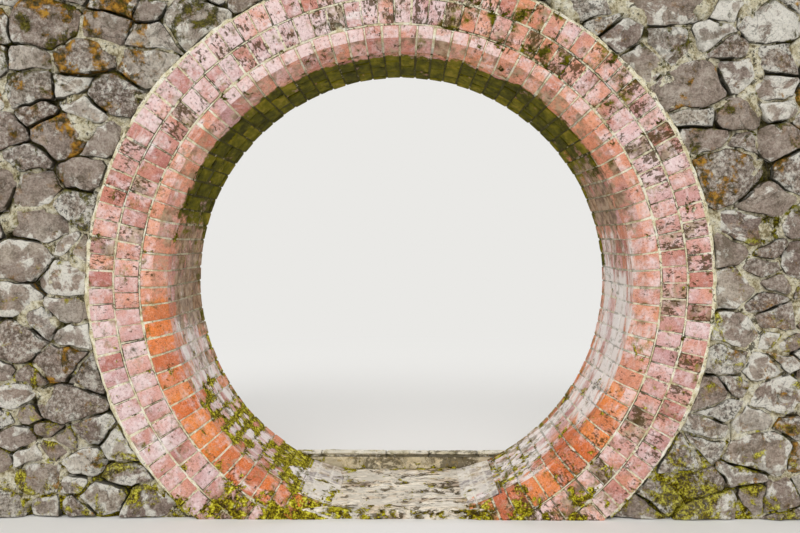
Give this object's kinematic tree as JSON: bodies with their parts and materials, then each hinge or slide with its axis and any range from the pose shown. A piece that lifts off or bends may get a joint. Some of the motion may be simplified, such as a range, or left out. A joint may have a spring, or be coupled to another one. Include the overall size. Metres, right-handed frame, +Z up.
{
  "type": "moon gate",
  "caption": "Circular moon gate: a chamfered brick-ringed round opening through a thick random-rubble garden wall with slab coping, threshold and rear step.",
  "frame": {"origin": "ground level under the middle of the opening, halfway through the wall's thickness", "axes": "+X along the wall to the right as seen from the front, +Y through the gate from the front face to the rear face, +Z up"},
  "size_m": [4.785, 0.745, 2.7305],
  "materials": {
    "brick": "matte",
    "rubble_stone": "matte",
    "slab_stone": "matte",
    "mortar": "matte"
  },
  "bodies": {
    "root": {"coping_slab_1": "slab_stone", "coping_slab_2": "slab_stone", "coping_slab_3": "slab_stone", "coping_slab_4": "slab_stone", "coping_slab_5": "slab_stone", "coping_slab_6": "slab_stone", "core_lower_left": "rubble_stone", "core_lower_right": "rubble_stone", "core_upper_left": "rubble_stone", "core_upper_right": "rubble_stone", "crown_wall": "rubble_stone", "front_middle_ring_lower_left": "brick", "front_middle_ring_lower_right": "brick", "front_middle_ring_upper_left": "brick", "front_middle_ring_upper_right": "brick", "front_mortar_collar": "mortar", "front_outer_ring_lower_left": "brick", "front_outer_ring_lower_right": "brick", "front_outer_ring_upper_left": "brick", "front_outer_ring_upper_right": "brick", "inner_ring_lower_left": "brick", "inner_ring_lower_right": "brick", "inner_ring_upper_left": "brick", "inner_ring_upper_right": "brick", "left_haunching": "mortar", "left_wall": "rubble_stone", "rear_middle_ring_lower_left": "brick", "rear_middle_ring_lower_right": "brick", "rear_middle_ring_upper_left": "brick", "rear_middle_ring_upper_right": "brick", "rear_mortar_collar": "mortar", "rear_outer_ring_lower_left": "brick", "rear_outer_ring_lower_right": "brick", "rear_outer_ring_upper_left": "brick", "rear_outer_ring_upper_right": "brick", "right_haunching": "mortar", "right_wall": "rubble_stone", "spandrel_lower_left": "rubble_stone", "spandrel_lower_right": "rubble_stone", "spandrel_upper_left": "rubble_stone", "spandrel_upper_right": "rubble_stone", "step_riser": "slab_stone", "step_slab": "slab_stone", "threshold": "slab_stone"}
  },
  "joints": []
}
